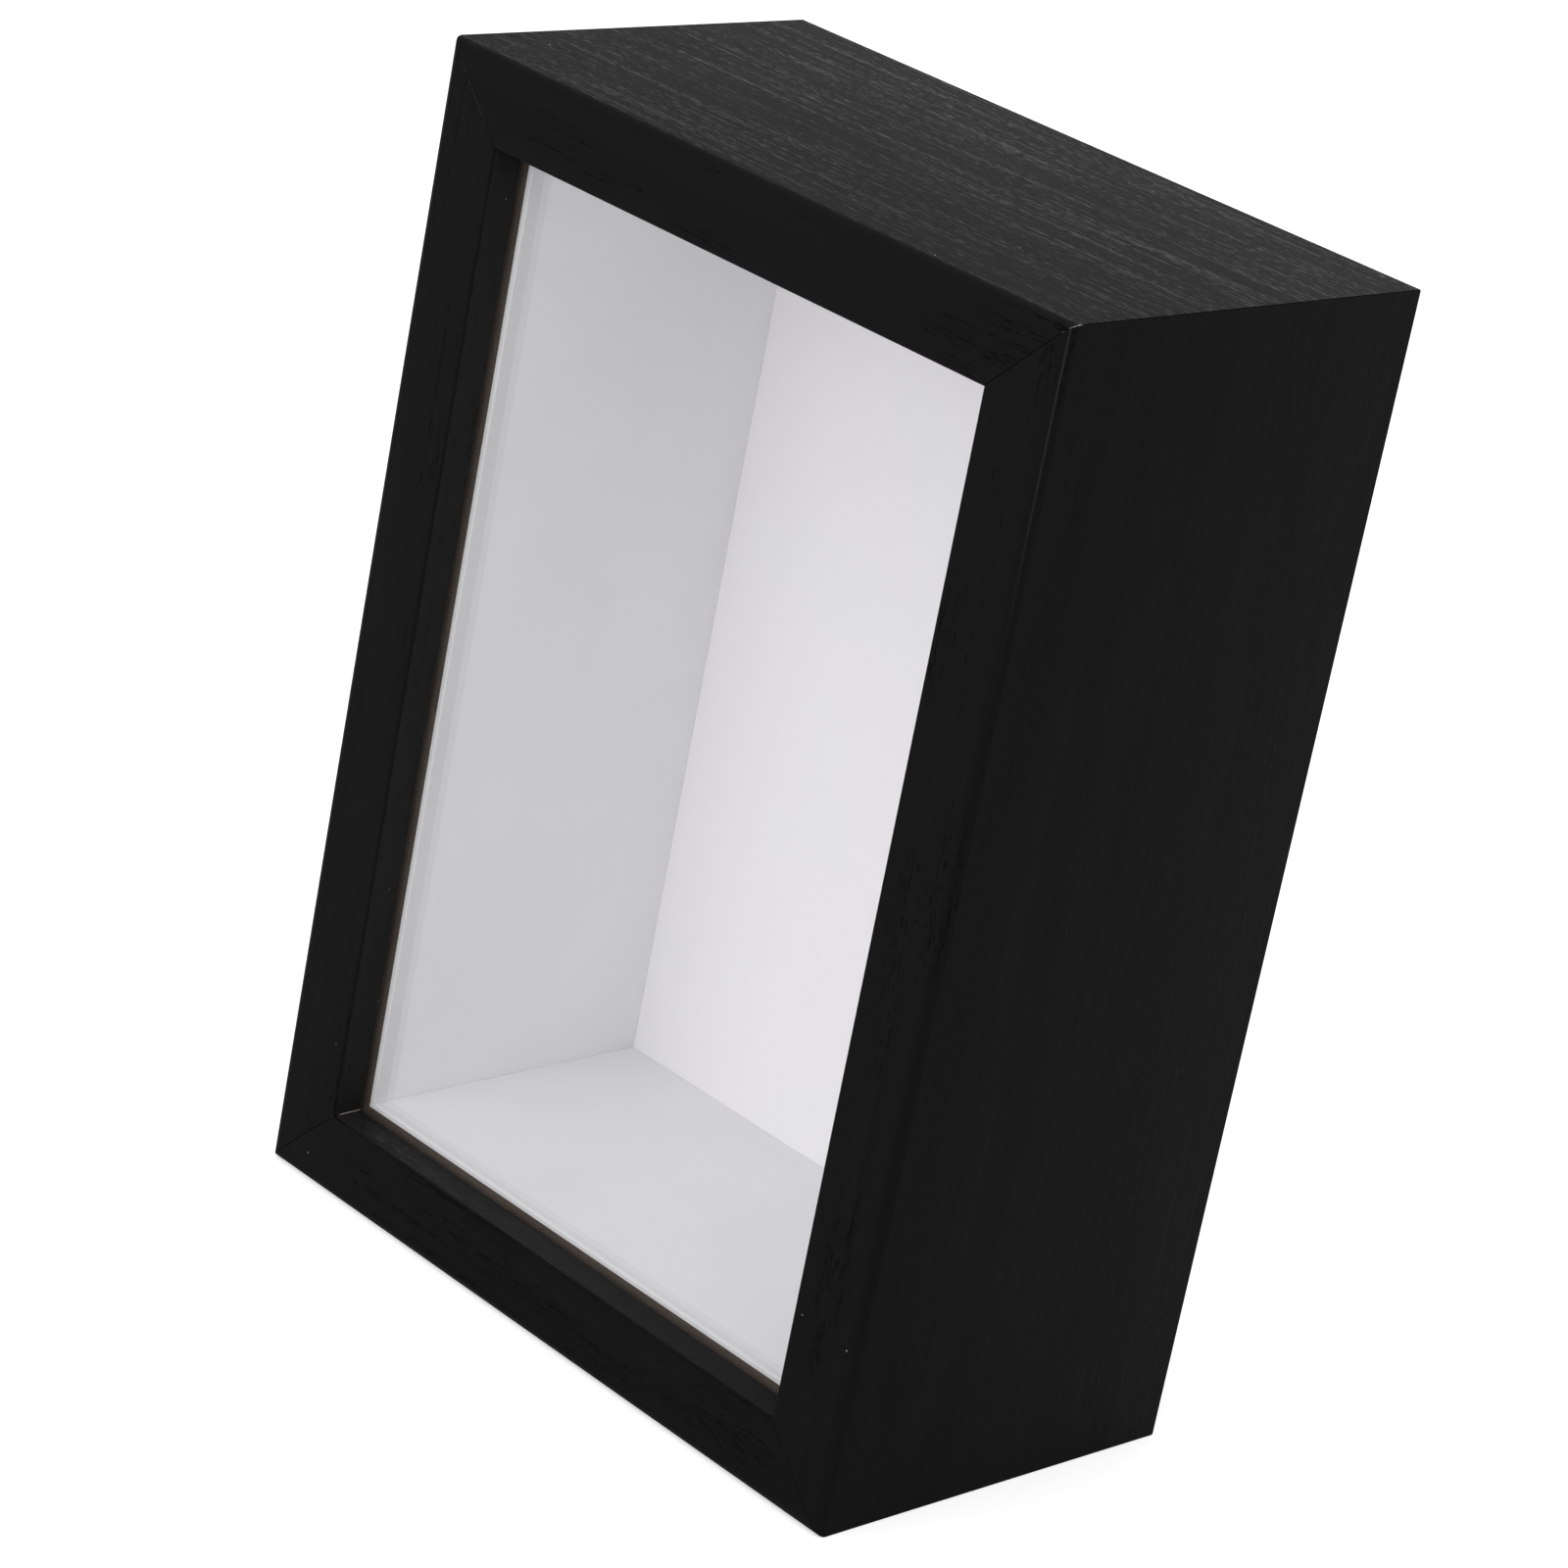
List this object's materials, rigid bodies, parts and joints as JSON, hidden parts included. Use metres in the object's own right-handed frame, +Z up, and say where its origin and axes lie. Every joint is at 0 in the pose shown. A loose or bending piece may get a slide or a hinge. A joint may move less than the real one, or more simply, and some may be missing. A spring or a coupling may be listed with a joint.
{
  "type": "shadow box",
  "caption": "Deep upright shadow box: mitred black wood-grain frame, glass front, white-lined interior and a back held by turn buttons.",
  "frame": {"origin": "middle of the bottom face of the wooden frame, on the surface that the box stands on", "axes": "+Z up, the glass front faces -Y, +X to the right as seen from the front"},
  "size_m": [0.1778, 0.1023, 0.254],
  "materials": {
    "black_foil": "black wood-grain foil over fibreboard, satin",
    "clear_glass": "clear float glass",
    "white_liner": "white-faced fibreboard with brown cut edges, matte",
    "white_canvas": "white fine cloth over a pin board",
    "brown_fibreboard": "hardboard, smooth face out",
    "zinc_steel": "bright zinc plate",
    "brass_steel": "brass-plated steel"
  },
  "bodies": {
    "box": {"rail_bottom": "black_foil", "rail_top": "black_foil", "stile_left": "black_foil", "stile_right": "black_foil", "glass": "clear_glass", "liner_bottom": "white_liner", "liner_top": "white_liner", "liner_left": "white_liner", "liner_right": "white_liner", "screw_left_lower": "zinc_steel", "screw_left_upper": "zinc_steel", "screw_right_lower": "zinc_steel", "screw_right_upper": "zinc_steel", "hanger_top": "brass_steel", "hanger_top_nail_1": "brass_steel", "hanger_top_nail_2": "brass_steel", "hanger_side": "brass_steel", "hanger_side_nail_1": "brass_steel", "hanger_side_nail_2": "brass_steel", "v_nail_bottom_left": "zinc_steel", "v_nail_bottom_right": "zinc_steel", "v_nail_top_left": "zinc_steel", "v_nail_top_right": "zinc_steel"},
    "back": {"display_board": "white_canvas", "back_panel": "brown_fibreboard"},
    "button_left_lower": {"turn_button_left_lower": "zinc_steel"},
    "button_left_upper": {"turn_button_left_upper": "zinc_steel"},
    "button_right_lower": {"turn_button_right_lower": "zinc_steel"},
    "button_right_upper": {"turn_button_right_upper": "zinc_steel"}
  },
  "joints": [
    {"name": "back_out", "type": "slide", "parent": "box", "child": "back", "axis": [0, 1, 0], "range_m": [0, 0.1]},
    {"name": "button_left_lower_turn", "type": "hinge", "parent": "box", "child": "button_left_lower", "pos_m": [-0.0829, 0.0504, 0.057], "axis": [0, -1, 0], "range_deg": [-90, 0]},
    {"name": "button_left_upper_turn", "type": "hinge", "parent": "box", "child": "button_left_upper", "pos_m": [-0.0829, 0.0504, 0.197], "axis": [0, -1, 0], "range_deg": [-90, 0]},
    {"name": "button_right_lower_turn", "type": "hinge", "parent": "box", "child": "button_right_lower", "pos_m": [0.0829, 0.0504, 0.057], "axis": [0, 1, 0], "range_deg": [-90, 0]},
    {"name": "button_right_upper_turn", "type": "hinge", "parent": "box", "child": "button_right_upper", "pos_m": [0.0829, 0.0504, 0.197], "axis": [0, 1, 0], "range_deg": [-90, 0]}
  ]
}
